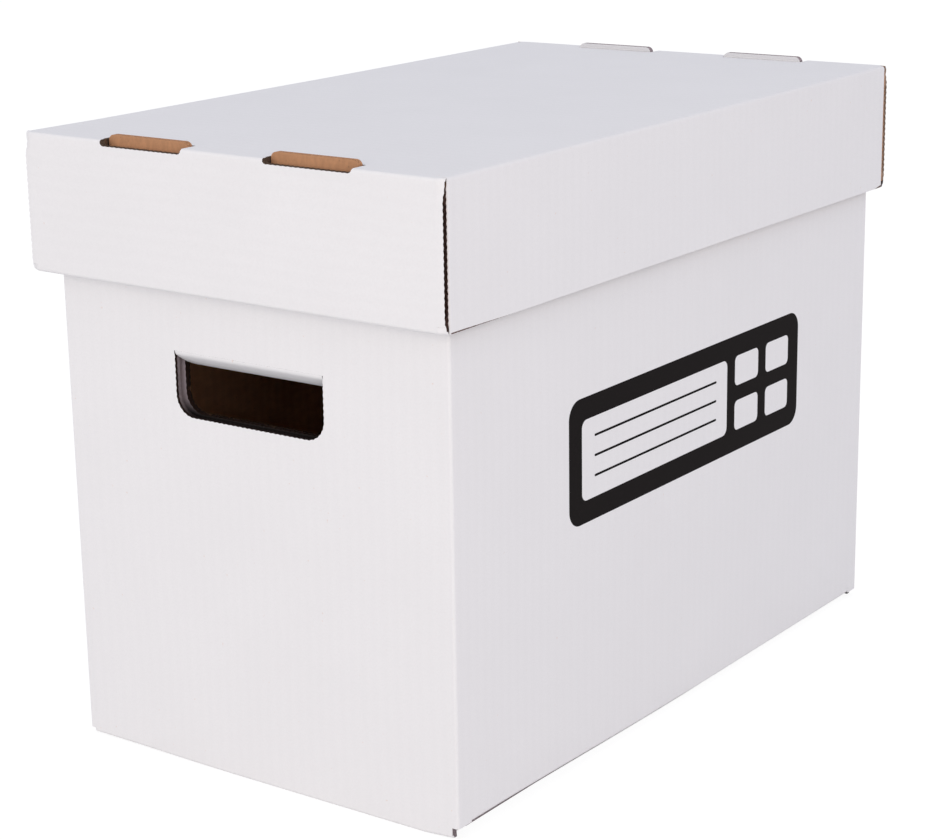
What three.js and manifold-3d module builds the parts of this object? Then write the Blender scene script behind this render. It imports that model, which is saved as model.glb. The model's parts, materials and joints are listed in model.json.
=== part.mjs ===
// Magazine storage box: a carton of white corrugated board with two hand holes, under a lift-off lid.
// Each panel between two creases of the die-cut board is a mesh of its own.
// Millimetres. X runs across the box, Y along it, Z up. The origin is the middle of the base.

import * as THREE from 'three';
import { mergeVertices } from 'three/addons/utils/BufferGeometryUtils.js';
import Module from 'manifold-3d';

const wasm = await Module();
wasm.setup();

// Corrugated board
const board = 3.2; // thickness over both liners
const foldInside = 0.2; // radius left on the inner side of a crease
const foldOutside = 1.6; // radius of a crease's outer side
const creaseGap = 0.1; // score line between two panels of one sheet
const layGap = 0.2; // air between boards that lie on each other
const fluteWave = 6.4; // length of one wave of the fluted paper
const linerPaper = 0.4; // flat paper on each face
const flutePaper = 0.3; // wavy paper between them
const mouthDepth = 5; // how far a flute stands open behind a cut edge

// Body
const bodyWidth = 228.6;
const bodyLength = 393.7;
const bodyHeight = 301.1; // table to the rims of the end walls
const sideDrop = 0.5; // how far the side walls stay below the rims
const innerSlack = 0.4; // room at the edges of a panel that is folded in
const flapInset = 9; // how far the outer bottom flaps stay inside the side walls
const flapMeeting = 1; // gap where two bottom flaps meet
const glueTabWidth = 35;
const glueTabTaper = 12; // how much shorter the glued tab is at its free edge, top and bottom
const glueTabInset = 4; // how far the glued tab stays from rim and base

// Hand holes
const handWidth = 88.5;
const handHeight = 31.4;
const handCrease = 208; // height of the crease that the pushed-in flap hangs from
const handCorner = 10.5; // radius of the two lower corners
const dieGap = 0.4; // cut between a flap and the edges of its hole
const flapRoll = 3; // radius of the flap's white face where it turns in at the crease
const flapRollAngle = THREE.MathUtils.degToRad(52);
const flapCurl = 48; // radius of the curl that follows, on the white face
const flapCurlAngle = THREE.MathUtils.degToRad(30);
const flapCrushAngle = THREE.MathUtils.degToRad(18); // wedge crushed at the crease
const flapTail = 3.6; // straight stretch at the free edge

// Locking tabs of the body, which go down into slots in the bottom flaps
const bodyTabWidth = 50;
const bodyTabCentre = 63.5;
const bodyTabChamfer = 1.5;
const bodyTabShort = 0.4; // the tabs end this far above the table

// Lid
const lidDepth = 66.7;
const lidShift = 2; // how far the lid sits over towards -X
const lidSideRoom = 4.2; // room between the body's side walls and the lid's
const lidEndRoom = 0.5; // room between the body's end walls and the lid's
const lidSeatGap = 0.2; // room between the body's rims and the lid's top panel
const lidRawInset = 0.2; // how far the end walls' cut edges stay inside the side faces
const cornerTabWidth = 40;
const cornerTabTaper = 8;

// Locking tabs of the lid, which come up through slots at the top fold
const lidTabWidth = 48.5;
const lidTabCentre = 48.5;
const lidTabChamfer = 3;
const lidTabProud = 2.6; // how far the tabs stand above the lid
const slotSlack = 0.5; // room round a tab in its slot
const slotCorner = 1; // radius of the slots' corners behind a tab
const slotDown = 2; // how far a lid slot runs down past the fold, with corners as round

// Facets and cuts
const arcSteps = 3; // half the number of facets on a quarter turn
const mouthSteps = 6; // facets on the curved side of a flute's mouth
const overrun = 5; // how far a cutting shape reaches past what it cuts
const lap = 2; // how far two shapes run into each other where they are joined

// Heights and depths that several panels share
const foldReach = board + foldInside; // from a fold's outer face to the flat panel round the corner
const layPitch = board + layGap;
const endStack = 2 * layPitch + board; // an end wall: outer board, tab layer, inner board
const lidTop = bodyHeight + lidSeatGap + board;
const lidBottom = lidTop - lidDepth;
const lidWidth = bodyWidth + 2 * (lidSideRoom + board);
const lidLength = bodyLength + 2 * (lidEndRoom + endStack);
const sideTop = bodyHeight - sideDrop;
const quarterTurn = Math.PI / 2;

const axisX = new THREE.Vector3(1, 0, 0);
const axisY = new THREE.Vector3(0, 1, 0);
const axisZ = new THREE.Vector3(0, 0, 1);
const back = (axis) => axis.clone().negate();

const whiteLiner = new THREE.MeshStandardMaterial({ color: 0xe9e7ea, roughness: 0.62, metalness: 0 });
const kraftBoard = new THREE.MeshStandardMaterial({ color: 0xb5835c, roughness: 0.85, metalness: 0 });

// Geometry to solid and back

function toSolid(geometry) {
  geometry.deleteAttribute('normal');
  geometry.deleteAttribute('uv');
  const merged = mergeVertices(geometry);
  return new wasm.Manifold(new wasm.Mesh({
    numProp: 3,
    vertProperties: merged.attributes.position.array,
    triVerts: Uint32Array.from(merged.index.array),
  }));
}

function toMesh(name, solid, material) {
  const { vertProperties, triVerts } = solid.getMesh();
  const geometry = new THREE.BufferGeometry();
  geometry.setAttribute('position', new THREE.BufferAttribute(vertProperties, 3));
  geometry.setIndex(new THREE.BufferAttribute(triVerts, 1));
  geometry.computeVertexNormals();
  const mesh = new THREE.Mesh(geometry, material);
  mesh.name = name;
  return mesh;
}

// Extrudes an outline drawn on the axes u and v, between two distances along u x v.
function extrude(shape, origin, u, v, from, to) {
  const options = { depth: to - from, bevelEnabled: false, curveSegments: arcSteps };
  const geometry = new THREE.ExtrudeGeometry(shape, options);
  geometry.translate(0, 0, from);
  const frame = new THREE.Matrix4().makeBasis(u, v, u.clone().cross(v)).setPosition(origin);
  geometry.applyMatrix4(frame);
  return toSolid(geometry);
}

// A block between two x, two y and two z.
function block(xs, ys, zs) {
  const spans = [xs, ys, zs].map(([low, high]) => high - low);
  const middles = [xs, ys, zs].map(([low, high]) => (low + high) / 2);
  return toSolid(new THREE.BoxGeometry(...spans).translate(...middles));
}

// Outlines. In a fold's outline u goes into the box from the outer face, v along the wall.

// A wall of the given height with a quarter fold at v = 0.
function foldedWall(height) {
  const shape = new THREE.Shape();
  shape.moveTo(0, height);
  shape.absarc(foldOutside, foldOutside, foldOutside, Math.PI, 3 * quarterTurn, false);
  shape.lineTo(foldReach, 0);
  shape.absarc(foldReach, foldReach, foldInside, 3 * quarterTurn, Math.PI, true);
  shape.lineTo(board, height);
  shape.closePath();
  return shape;
}

// The roll-over at the edge of a double end wall: two quarter folds with a flat between them.
function rollOver() {
  const inner = endStack - foldReach;
  const shape = new THREE.Shape();
  shape.moveTo(0, foldReach);
  shape.absarc(foldOutside, foldOutside, foldOutside, Math.PI, 3 * quarterTurn, false);
  shape.absarc(endStack - foldOutside, foldOutside, foldOutside, 3 * quarterTurn, 4 * quarterTurn, false);
  shape.lineTo(endStack, foldReach);
  shape.absarc(inner, foldReach, foldInside, 4 * quarterTurn, 3 * quarterTurn, true);
  shape.absarc(foldReach, foldReach, foldInside, 3 * quarterTurn, Math.PI, true);
  shape.closePath();
  return shape;
}

// The outer faces of a side wall seen from above, where it turns at its ends into near and far.
function sidePlan(face, near, far) {
  const turn = face - foldOutside;
  const shape = new THREE.Shape();
  shape.moveTo(face - foldReach, near);
  shape.absarc(turn, near + foldOutside, foldOutside, -quarterTurn, 0, false);
  shape.absarc(turn, far - foldOutside, foldOutside, 0, quarterTurn, false);
  shape.lineTo(face - foldReach, far);
  return shape;
}

// The same wall with its inner faces.
function curledWall(face, near, far) {
  const turn = face - foldReach;
  const shape = sidePlan(face, near, far);
  shape.absarc(turn, far - foldReach, foldInside, quarterTurn, 0, true);
  shape.absarc(turn, near + foldReach, foldInside, 0, -quarterTurn, true);
  shape.closePath();
  return shape;
}

// A panel with two chamfered locking tabs on the edge at v = height.
function tabbedPanel(halfWidth, height, centre, width, length, chamfer) {
  const root = width / 2;
  const tip = height + length;
  const shape = new THREE.Shape();
  shape.moveTo(-halfWidth, 0);
  shape.lineTo(halfWidth, 0);
  shape.lineTo(halfWidth, height);
  for (const middle of [centre, -centre]) {
    shape.lineTo(middle + root, height);
    shape.lineTo(middle + root, tip - chamfer);
    shape.lineTo(middle + root - chamfer, tip);
    shape.lineTo(middle - root + chamfer, tip);
    shape.lineTo(middle - root, tip - chamfer);
    shape.lineTo(middle - root, height);
  }
  shape.lineTo(-halfWidth, height);
  shape.closePath();
  return shape;
}

// A box whose two corners at the far v are rounded.
function roundEnded(halfWidth, near, far, radius) {
  const shape = new THREE.Shape();
  shape.moveTo(-halfWidth, near);
  shape.lineTo(halfWidth, near);
  shape.absarc(halfWidth - radius, far - radius, radius, 0, quarterTurn, false);
  shape.absarc(radius - halfWidth, far - radius, radius, quarterTurn, Math.PI, false);
  shape.closePath();
  return shape;
}

// A tab that stands on an edge from low to high and tapers towards its free edge.
function taperedTab(width, low, high, taper) {
  const shape = new THREE.Shape();
  shape.moveTo(0, low);
  shape.lineTo(width, low + taper);
  shape.lineTo(width, high - taper);
  shape.lineTo(0, high);
  shape.closePath();
  return shape;
}

// Cutting shapes

// The flutes' mouths in a vertical cut edge. u goes into the box, v up, and the edge faces +u x v.
function fluteMouths(origin, low, high) {
  const middle = board / 2;
  const swing = middle - linerPaper - flutePaper / 2;
  const reachShare = 0.42; // half of a mouth's length, as a share of the wave
  const reach = reachShare * fluteWave;
  const mouths = [];
  let side = 1;
  for (let centre = low + reach; centre + reach < high; centre += fluteWave / 2) {
    const shape = new THREE.Shape();
    shape.moveTo(middle + side * (middle - linerPaper), centre - reach);
    for (let step = 0; step <= mouthSteps; step += 1) {
      const along = reach * (2 * step / mouthSteps - 1);
      const wave = Math.cos(along / fluteWave * 2 * Math.PI);
      shape.lineTo(middle + side * (flutePaper / 2 - swing * wave), centre + along);
    }
    shape.lineTo(middle + side * (middle - linerPaper), centre + reach);
    shape.closePath();
    mouths.push(extrude(shape, origin, axisY, axisZ, -mouthDepth, overrun));
    side = -side;
  }
  return mouths;
}

// The hand hole through the whole end wall: a sharp crease on top, round corners below.
function handHole() {
  const shape = roundEnded(handWidth / 2, 0, handHeight, handCorner);
  const origin = new THREE.Vector3(0, -bodyLength / 2, handCrease);
  return extrude(shape, origin, axisX, back(axisZ), -overrun, endStack + overrun);
}

// The slots for two locking tabs, from outside the end wall to just behind its inner board.
function tabSlots(halfLength, centre, width, low, high) {
  const outside = -halfLength - overrun;
  const inside = endStack + slotSlack - halfLength;
  const shape = roundEnded(width / 2 + slotSlack, outside, inside, slotCorner);
  return [centre, -centre].map((middle) => {
    const origin = new THREE.Vector3(middle, 0, 0);
    return extrude(shape, origin, axisX, axisY, low, high);
  });
}

// The same slots in a lid's end wall, where they run over the fold and a little way down.
function foldSlots() {
  const shape = roundEnded(lidTabWidth / 2 + slotSlack, -overrun, slotDown, slotDown);
  return [lidTabCentre, -lidTabCentre].map((middle) => {
    const origin = new THREE.Vector3(middle, -lidLength / 2, lidTop);
    return extrude(shape, origin, axisX, back(axisZ), -overrun, endStack);
  });
}

const cutAll = (solid, cutters) => cutters.reduce((left, cutter) => left.subtract(cutter), solid);

// Body

// The wall on +X. Its bottom edge folds in to a flap, and its ends curl round to the end walls.
// An end that is set back lies behind the end wall's board, where the carton is glued.
function bodySide(name, nearSetBack) {
  const face = bodyWidth / 2;
  const near = nearSetBack - bodyLength / 2;
  const far = bodyLength / 2;
  const reach = bodyLength / 2 - endStack - innerSlack;
  const wall = extrude(curledWall(face, near, far), new THREE.Vector3(), axisX, axisY, layPitch, sideTop);
  const foot = block([0, face + overrun], [-reach, reach], [0, layPitch + foldReach]);
  const corner = new THREE.Vector3(face, 0, layPitch);
  const fold = extrude(foldedWall(foldReach + lap), corner, back(axisX), axisZ, -reach, reach);
  return toMesh(name, wall.subtract(foot).add(fold), whiteLiner);
}

// The side wall's flap, which lies on the two outer flaps and meets its twin in mid width.
function innerBottomFlap(name) {
  const reach = bodyLength / 2 - endStack - innerSlack;
  const xs = [flapMeeting / 2, bodyWidth / 2 - foldReach - creaseGap];
  return toMesh(name, block(xs, [-reach, reach], [layPitch, layPitch + board]), kraftBoard);
}

// The end wall's flap, which the box stands on. The locking tabs end in its two slots.
function outerBottomFlap(name) {
  const half = bodyWidth / 2 - flapInset;
  const ys = [foldReach + creaseGap - bodyLength / 2, -flapMeeting / 2];
  const flap = block([-half, half], ys, [0, board]);
  const slots = tabSlots(bodyLength / 2, bodyTabCentre, bodyTabWidth, -overrun, board + overrun);
  return toMesh(name, cutAll(flap, slots), whiteLiner);
}

// The outer board of an end wall, with the fold at its foot. Where the carton is glued, it runs on
// to the corner and covers the side wall's tab.
function bodyEndWall(name, glued) {
  const half = bodyWidth / 2 - foldReach - creaseGap;
  const edge = glued ? bodyWidth / 2 : half;
  const height = bodyHeight - foldReach - creaseGap;
  const corner = new THREE.Vector3(0, -bodyLength / 2, 0);
  const wall = extrude(foldedWall(height), corner, axisY, axisZ, -half, edge);
  const foot = block([half, edge + overrun], [-bodyLength, 0], [-overrun, layPitch]);
  const trimmed = glued ? wall.subtract(foot) : wall;
  return toMesh(name, trimmed.subtract(handHole()), whiteLiner);
}

function bodyRim(name) {
  const half = bodyWidth / 2 - foldReach - creaseGap;
  const corner = new THREE.Vector3(0, -bodyLength / 2, bodyHeight);
  return toMesh(name, extrude(rollOver(), corner, axisY, back(axisZ), -half, half), whiteLiner);
}

// The inner board of an end wall, folded over the rim and locked in the bottom by two tabs.
function bodyInnerEnd(name) {
  const top = bodyHeight - foldReach - creaseGap;
  const half = bodyWidth / 2 - foldReach - innerSlack;
  const panel = tabbedPanel(half, top - layPitch, bodyTabCentre, bodyTabWidth,
    layPitch - bodyTabShort, bodyTabChamfer);
  const origin = new THREE.Vector3(0, endStack - board - bodyLength / 2, top);
  const inner = extrude(panel, origin, axisX, back(axisZ), 0, board);
  return toMesh(name, inner.subtract(handHole()), whiteLiner);
}

// The tab that glues the carton into a loop, between the two boards of an end wall.
function glueTab(name) {
  const high = bodyHeight - board - glueTabInset;
  const low = layPitch + glueTabInset;
  const shape = taperedTab(glueTabWidth, low, high, glueTabTaper);
  const origin = new THREE.Vector3(bodyWidth / 2 - foldReach - creaseGap, layPitch - bodyLength / 2, 0);
  return toMesh(name, extrude(shape, origin, back(axisX), axisZ, 0, board), kraftBoard);
}

// The flap of a hand hole, pushed in: crushed to a wedge at its crease, then curled towards the level.
function handFlap(name) {
  const half = handWidth / 2 - dieGap;
  const turned = flapRollAngle + flapCurlAngle;
  const slope = quarterTurn - turned;
  const lift = flapCurl - flapRoll;
  const centreU = flapRoll + lift * Math.cos(flapRollAngle);
  const centreV = -lift * Math.sin(flapRollAngle);
  const tipU = centreU - flapCurl * Math.cos(turned) + flapTail * Math.cos(slope);
  const tipV = centreV + flapCurl * Math.sin(turned) + flapTail * Math.sin(slope);
  const shape = new THREE.Shape();
  shape.absarc(flapRoll, 0, flapRoll, Math.PI, Math.PI - flapRollAngle, true);
  shape.absarc(centreU, centreV, flapCurl, Math.PI - flapRollAngle, Math.PI - turned, true);
  shape.lineTo(tipU, tipV);
  shape.lineTo(tipU + board * Math.sin(slope), tipV - board * Math.cos(slope));
  shape.absarc(centreU, centreV, flapCurl - board, Math.PI - turned, Math.PI - flapRollAngle, false);
  shape.closePath();
  const crease = new THREE.Vector3(0, -bodyLength / 2, handCrease);
  const strip = extrude(shape, crease, axisY, back(axisZ), -half, half);

  const root = foldReach + board;
  const wedge = new THREE.Shape();
  wedge.moveTo(-overrun, creaseGap);
  wedge.lineTo(0, creaseGap);
  wedge.lineTo(root, creaseGap + root * Math.tan(flapCrushAngle));
  wedge.lineTo(root, -root);
  wedge.lineTo(-overrun, -root);
  wedge.closePath();
  const crush = extrude(wedge, crease, axisY, back(axisZ), -handWidth, handWidth);

  const plan = roundEnded(half, -overrun, tipU, handCorner);
  const origin = new THREE.Vector3(0, -bodyLength / 2, 0);
  const outline = extrude(plan, origin, axisX, axisY, 0, bodyHeight);
  return toMesh(name, strip.subtract(crush).intersect(outline), whiteLiner);
}

// Lid

function lidSide(name) {
  const face = lidWidth / 2;
  const end = lidLength / 2 - layPitch;
  const shoulder = lidTop - foldReach;
  const wall = extrude(curledWall(face, -end, end), new THREE.Vector3(), axisX, axisY, lidBottom, shoulder);
  const corner = new THREE.Vector3(face, 0, lidTop);
  const fold = extrude(foldedWall(foldReach + lap), corner, back(axisX), back(axisZ), -end, end);
  const plan = extrude(sidePlan(face, -end, end), new THREE.Vector3(), axisX, axisY, lidBottom, lidTop + lap);
  return toMesh(name, wall.add(fold.intersect(plan)), whiteLiner);
}

// The top panel, with the four slots that the locking tabs come up through.
function lidPanel(name) {
  const halfX = lidWidth / 2 - foldReach - creaseGap;
  const halfY = lidLength / 2 - foldReach - creaseGap;
  const panel = block([-halfX, halfX], [-halfY, halfY], [lidTop - board, lidTop]);
  const slots = tabSlots(lidLength / 2, lidTabCentre, lidTabWidth, lidBottom, lidTop + overrun);
  const turned = slots.map((slot) => slot.mirror([1, 0, 0]).mirror([0, 1, 0]));
  return toMesh(name, cutAll(panel, [...slots, ...turned]), whiteLiner);
}

// The outer board of a lid end. Its upright edges are cut, and show the flutes at the corners.
function lidEndWall(name) {
  const half = lidWidth / 2 - lidRawInset;
  const height = lidDepth - foldReach - creaseGap;
  const corner = new THREE.Vector3(0, -lidLength / 2, lidTop);
  const wall = extrude(foldedWall(height), corner, axisY, back(axisZ), -half, half);
  const fold = lidWidth / 2 - foldReach - creaseGap;
  const cornerCuts = [[-half - overrun, -fold], [fold, half + overrun]].map((xs) =>
    block(xs, [board - lidLength / 2, 0], [lidBottom, lidTop + overrun]));
  const rightEdge = new THREE.Vector3(half, -lidLength / 2, 0);
  const mouths = fluteMouths(rightEdge, lidBottom + foldReach, lidTop - foldReach);
  const mirrored = mouths.map((mouth) => mouth.mirror([1, 0, 0]));
  return toMesh(name, cutAll(wall, [...cornerCuts, ...foldSlots(), ...mouths, ...mirrored]), whiteLiner);
}

// The lid end's roll-over. Only its outer fold runs on to the corners.
function lidRim(name) {
  const half = lidWidth / 2 - lidRawInset;
  const short = lidWidth / 2 - foldReach - innerSlack;
  const corner = new THREE.Vector3(0, -lidLength / 2, lidBottom);
  const rim = extrude(rollOver(), corner, axisY, axisZ, -half, half);
  const ys = [board - lidLength / 2, 0];
  const zs = [lidBottom - overrun, lidTop];
  const cuts = [[-half - overrun, -short], [short, half + overrun]].map((xs) => block(xs, ys, zs));
  return toMesh(name, cutAll(rim, cuts), whiteLiner);
}

// The inner board of a lid end, whose two tabs come up through the top panel.
function lidInnerEnd(name) {
  const low = lidBottom + foldReach + creaseGap;
  const high = lidTop - board - layGap;
  const half = lidWidth / 2 - foldReach - innerSlack;
  const panel = tabbedPanel(half, high - low, lidTabCentre, lidTabWidth,
    lidTop + lidTabProud - high, lidTabChamfer);
  const origin = new THREE.Vector3(0, endStack - lidLength / 2, low);
  return toMesh(name, extrude(panel, origin, axisX, axisZ, 0, board), whiteLiner);
}

// The side wall's tab, folded in between the two boards of a lid end. side is 1 on +X, -1 on -X.
function lidCornerTab(name, side) {
  const low = lidBottom + board + layGap;
  const high = lidTop - board - layGap;
  const shape = taperedTab(cornerTabWidth, low, high, cornerTabTaper);
  const root = side * (lidWidth / 2 - foldReach - creaseGap);
  const outer = layPitch - lidLength / 2;
  const origin = new THREE.Vector3(root, side > 0 ? outer : outer + board, 0);
  const inward = axisX.clone().multiplyScalar(-side);
  return toMesh(name, extrude(shape, origin, inward, axisZ, 0, board), kraftBoard);
}

// Assembly. What stands at the rear or on the left is built like its twin and turned half round.

const box = new THREE.Group();
const lid = new THREE.Group();
lid.position.x = -lidShift;
box.add(lid);

for (const [place, turn, glued] of [['front', 0, false], ['rear', Math.PI, true]]) {
  const end = new THREE.Group();
  end.rotation.z = turn;
  end.add(bodyEndWall(`body_end_${place}`, glued));
  end.add(bodyRim(`body_rim_${place}`));
  end.add(bodyInnerEnd(`body_inner_end_${place}`));
  end.add(outerBottomFlap(`bottom_flap_${place}`));
  end.add(handFlap(`hand_flap_${place}`));
  if (glued) end.add(glueTab('body_glue_tab'));
  box.add(end);

  const lidEnd = new THREE.Group();
  lidEnd.rotation.z = turn;
  lidEnd.add(lidEndWall(`lid_end_${place}`));
  lidEnd.add(lidRim(`lid_rim_${place}`));
  lidEnd.add(lidInnerEnd(`lid_inner_end_${place}`));
  lidEnd.add(lidCornerTab(`lid_corner_tab_${place}_${turn ? 'left' : 'right'}`, 1));
  lidEnd.add(lidCornerTab(`lid_corner_tab_${place}_${turn ? 'right' : 'left'}`, -1));
  lid.add(lidEnd);
}

for (const [place, turn, nearSetBack] of [['right', 0, 0], ['left', Math.PI, layPitch]]) {
  const side = new THREE.Group();
  side.rotation.z = turn;
  side.add(bodySide(`body_side_${place}`, nearSetBack));
  side.add(innerBottomFlap(`bottom_flap_${place}`));
  box.add(side);

  const lidFlank = new THREE.Group();
  lidFlank.rotation.z = turn;
  lidFlank.add(lidSide(`lid_side_${place}`));
  lid.add(lidFlank);
}

lid.add(lidPanel('lid_top'));

export default box;
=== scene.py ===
"""Magazine storage box of white corrugated board: the looks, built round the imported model.

Every length is in metres. X runs across the box, Y along it, Z up from the table.
"""

import json
import math

import bmesh
import bpy
from bpy.props import FloatProperty, FloatVectorProperty, PointerProperty
from bpy.types import Operator, Panel, PropertyGroup
from mathutils import Matrix, Vector


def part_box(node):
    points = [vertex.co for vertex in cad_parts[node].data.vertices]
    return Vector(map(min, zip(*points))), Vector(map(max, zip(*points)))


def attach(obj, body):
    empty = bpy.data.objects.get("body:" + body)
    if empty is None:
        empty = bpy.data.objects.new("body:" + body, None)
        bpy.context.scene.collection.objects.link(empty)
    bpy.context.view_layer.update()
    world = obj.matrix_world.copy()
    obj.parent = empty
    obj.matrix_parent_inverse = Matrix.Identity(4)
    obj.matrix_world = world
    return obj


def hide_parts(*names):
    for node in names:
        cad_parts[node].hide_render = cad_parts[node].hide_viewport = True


bl_info = {
    "name": "Magazine storage box",
    "version": (1, 0, 0),
    "blender": (4, 5, 0),
    "location": "3D View > Sidebar > Storage Box",
    "description": "Builds a corrugated storage box with a lift-off lid round its packed model",
    "category": "Object",
}

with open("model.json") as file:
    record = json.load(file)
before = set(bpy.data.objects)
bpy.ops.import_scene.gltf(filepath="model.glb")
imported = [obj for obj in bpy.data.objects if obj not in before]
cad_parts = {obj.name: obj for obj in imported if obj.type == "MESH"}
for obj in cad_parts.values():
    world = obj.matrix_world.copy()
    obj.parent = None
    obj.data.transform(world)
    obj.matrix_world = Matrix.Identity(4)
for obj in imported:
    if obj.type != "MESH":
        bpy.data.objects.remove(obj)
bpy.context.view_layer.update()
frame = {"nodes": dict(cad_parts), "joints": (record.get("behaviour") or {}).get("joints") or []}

MM = 0.001
QUARTER = math.radians(90)
ENDS = (("front", -1), ("rear", 1))
SIDES = (("left", -1), ("right", 1))

# The material slots of a sheet of board
WHITE, KRAFT, RAW = range(3)

# The least room between two boards that lie together
FOLD_SPARE = 0.1 * MM


def edge_of(node, axis, high):
    """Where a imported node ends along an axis."""
    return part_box(node)[high]["xyz".index(axis)]


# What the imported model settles
board = edge_of("bottom_flap_front", "z", 1)
body_x = edge_of("body_side_right", "x", 1)
body_y = edge_of("body_end_rear", "y", 1)
rim_z = edge_of("body_rim_front", "z", 1)
side_top = edge_of("body_side_right", "z", 1)
lay_pitch = edge_of("bottom_flap_right", "z", 0)
inner_flap_y = edge_of("bottom_flap_right", "y", 1)
inner_flap_x = edge_of("bottom_flap_right", "x", 0)
outer_flap_x = edge_of("bottom_flap_front", "x", 1)
outer_flap_y = edge_of("bottom_flap_rear", "y", 0)
body_lining_x = edge_of("body_inner_end_front", "x", 1)
body_tab_z = edge_of("body_inner_end_front", "z", 0)
end_stack = edge_of("body_rim_front", "y", 1) - edge_of("body_rim_front", "y", 0)
lid_middle = (edge_of("lid_side_left", "x", 0) + edge_of("lid_side_right", "x", 1)) / 2
lid_x = edge_of("lid_side_right", "x", 1) - lid_middle
lid_raw_x = edge_of("lid_end_front", "x", 1) - lid_middle
lid_y = edge_of("lid_end_rear", "y", 1)
lid_top = edge_of("lid_top", "z", 1)
lid_bottom = edge_of("lid_side_right", "z", 0)
lid_lining_x = edge_of("lid_inner_end_front", "x", 1) - lid_middle
lid_tab_z = edge_of("lid_inner_end_front", "z", 1)
flap_x = edge_of("hand_flap_front", "x", 1)
hinge_z = next(j["pos_m"][2] for j in frame["joints"] if j["name"] == "flap_front_hinge")


def length(name, description, millimetres):
    return FloatProperty(name=name, description=description, default=millimetres * MM,
                         unit="LENGTH")


def turn(name, description, degrees):
    return FloatProperty(name=name, description=description, default=math.radians(degrees),
                         subtype="ANGLE")


def paint(name, description, default):
    return FloatVectorProperty(name=name, description=description, default=default,
                               subtype="COLOR", size=3)


class BoxSizes(PropertyGroup):
    """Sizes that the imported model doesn't state by itself."""

    fold_inside: length("Fold inside", "Room left on the inner side of a crease", 0.2)
    fold_outside: length("Fold outside", "Radius of a crease's outer side", 1.6)
    edge_crush: length(
        "Edge crush", "How much thinner the cutting die leaves the board at its edge", 0.6)
    corner_crush: length(
        "Corner crush", "How much more it is crushed where a cut edge meets a fold", 1.4)
    crush_width: length("Crush width", "Width of the crushed strip along a cut edge", 4)
    wave: length("Flute wave", "Length of one wave of the fluted paper", 6.4)
    liner: length("Liner", "Thickness of the flat paper on each face", 0.4)
    fluting: length("Fluting", "Thickness of the wavy paper between the liners", 0.3)
    mouth_depth: length("Mouth depth", "How far a flute stands open behind a cut edge", 6)
    tooth: length("Tooth pitch", "Pitch of the teeth that the cutting die leaves", 2.8)
    tooth_depth: length("Tooth depth", "Depth of the teeth that the cutting die leaves", 0.3)
    end_foot_lift: length(
        "End foot lift", "How far the front end's foot has bent up at its left corner", 1.2)
    side_foot_lift: length(
        "Side foot lift", "How far the right side's foot has bent up at the front corner", 3)
    lid_lift: length("Lid corner lift", "How far the lid's front left corner has bent up", 1.2)
    hand_height: length("Hand hole height", "Height of a hand hole below its crease", 31.4)
    hand_corner: length("Hand hole corner", "Radius of a hand hole's lower corners", 10.5)
    hand_gap: length("Flap gap", "Gap between a flap and the sides of its hole", 0.4)
    body_tab_centre: length(
        "Body tab place", "From the middle of the end wall to a locking tab", 63.5)
    body_tab_width: length("Body tab width", "Width of a locking tab of the body", 50)
    body_tab_chamfer: length("Body tab chamfer", "Chamfer of the body's locking tabs", 1.5)
    lid_tab_centre: length(
        "Lid tab place", "From the middle of the lid's end to a locking tab", 48.5)
    lid_tab_width: length("Lid tab width", "Width of a locking tab of the lid", 48.5)
    lid_tab_round: length("Lid tab corner", "Radius of the corners of the lid's locking tabs", 3)
    slot_slack: length("Slot slack", "Room round a tab in its slot", 0.5)
    slot_shift: length("Slot shift", "How far the front slots sit to the right of their tabs", 0.9)
    slot_down: length("Slot drop", "How far a lid slot runs down past the fold", 2)
    slot_round: length("Slot corner", "Radius of a slot's corners", 1)


class FlapSizes(PropertyGroup):
    """The curl of a pushed-in hand flap, measured on its white face."""

    roll_radius: length("Crease roll", "Radius of the crease that the flap hangs from", 3)
    roll_angle: turn("Crease turn", "How far the crease turns away from the wall", 52)
    curl_radius: length("Curl radius", "Radius of the flap's curl", 48)
    curl_angle: turn("Curl turn", "How far the flap curls towards the level", 30)
    tail: length("Tail", "Straight stretch at the flap's free edge", 3.6)
    crush_angle: turn("Crush", "Slope of the wedge that is crushed at the crease", 18)


class PrintSizes(PropertyGroup):
    """The printed index panel on the right side wall."""

    width: length("Width", "Length of the print along the box", 223.6)
    height: length("Height", "Height of the print", 61.6)
    centre_y: length("Centre along", "Middle of the print along the box", 7)
    centre_z: length("Centre up", "Middle of the print above the table", 153.2)
    film: length("Ink film", "Thickness of the printed ink", 0.04)
    margin: length("Margin", "From the print's outline to its windows", 11)
    gap: length("Gap", "Between two windows of the print", 8)
    corner: length("Corner", "Radius of the print's corners", 9)
    rule: length("Rule", "Height of a printed line to write on", 1.2)
    divide: FloatProperty(name="Divide", description="Share of the print for its ruled window",
                          default=0.66, subtype="FACTOR", min=0, max=1)


class BoxColours(PropertyGroup):
    """Colours of the papers and the ink."""

    white: paint("White liner", "Clay-coated face paper", (0.83, 0.82, 0.835))
    kraft: paint("Kraft liner", "Brown paper inside", (0.52, 0.27, 0.145))
    # Painted shade: the cut edge's own dark brown, darkened further to the tone it shows in the
    # shade of its flute hollows and of the gaps it faces.
    raw: paint("Cut edge", "Crushed brown core of the cut board", (0.040, 0.022, 0.018))
    # Painted light: the lit brown of a cut edge, laid on the lid's rear cut edges, while the front
    # ones keep the darker, shaded colour.
    torn: paint("Torn edge", "Cut edge that shows more of its kraft paper", (0.30, 0.205, 0.15))
    # Painted shade: the grey that the kraft paper in the gap round a hand hole shows in shadow;
    # some cut edges take a copy of this grey as well.
    shade_grey: paint("Dusty paper", "Grey kraft paper in the gap round a hand hole", (0.42, 0.35, 0.37))
    ink: paint("Ink", "Black printing ink", (0.0085, 0.0068, 0.007))


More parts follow.
